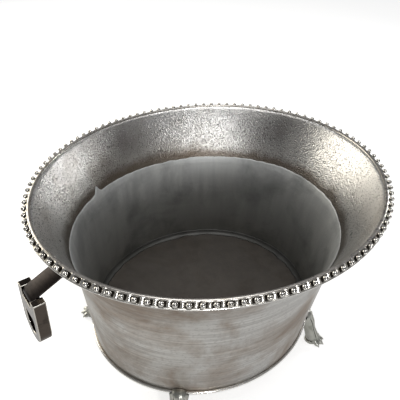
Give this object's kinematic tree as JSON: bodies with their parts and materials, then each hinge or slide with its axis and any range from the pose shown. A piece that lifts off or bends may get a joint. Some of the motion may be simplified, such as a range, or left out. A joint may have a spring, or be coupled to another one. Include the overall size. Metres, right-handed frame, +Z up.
{
  "type": "champagne bucket",
  "caption": "Oval flared metal wine cooler with a dull inner lining, a pearl border round the rim, paw feet and swinging drop handles; holds bottles in ice.",
  "frame": {"origin": "on the floor, under the centre of the oval", "axes": "+Z up, +X along the oval's long axis towards the right handle, +Y to the rear"},
  "size_m": [0.4794, 0.3818, 0.2758],
  "materials": {
    "plated_body": "worn brushed silver plate with faint brown tarnish",
    "zinc_lining": "dull matt zinc",
    "zinc_floor": "dull dark zinc",
    "solder": "dull tin solder",
    "polished_rim": "polished silver plate",
    "patinated_border": "cast silver plate, dark in its recesses",
    "pearls": "polished silver plate",
    "cast_feet": "cast silver plate, dark in its grooves",
    "dark_strap": "dark tarnished plate with fine scratches",
    "dark_nickel": "dark polished nickel",
    "fasteners": "plain steel"
  },
  "bodies": {
    "bucket": {"outer_shell": "plated_body", "zinc_liner": "zinc_lining", "liner_floor": "zinc_floor", "floor_solder_ring": "solder", "rim_lip": "polished_rim", "rim_band": "patinated_border", "rim_edge_wire": "polished_rim", "rim_pearls": "pearls", "bottom_plate": "plated_body", "base_ring": "polished_rim", "foot_front_left": "cast_feet", "foot_front_right": "cast_feet", "foot_rear_left": "cast_feet", "foot_rear_right": "cast_feet", "foot_studs": "fasteners", "foot_nuts": "fasteners", "left_wall_plate": "dark_strap", "right_wall_plate": "dark_strap", "left_strap": "dark_strap", "right_strap": "dark_strap"},
    "left_handle": {"left_drop_handle": "dark_nickel", "left_hinge_pin": "fasteners"},
    "right_handle": {"right_drop_handle": "dark_nickel", "right_hinge_pin": "fasteners"}
  },
  "joints": [
    {"name": "left_handle_swing", "type": "hinge", "parent": "bucket", "child": "left_handle", "pos_m": [-0.2327, 0, 0.2113], "axis": [0, 1, 0], "range_deg": [-55, 100]},
    {"name": "right_handle_swing", "type": "hinge", "parent": "bucket", "child": "right_handle", "pos_m": [0.2327, 0, 0.2113], "axis": [0, -1, 0], "range_deg": [-55, 100]}
  ]
}
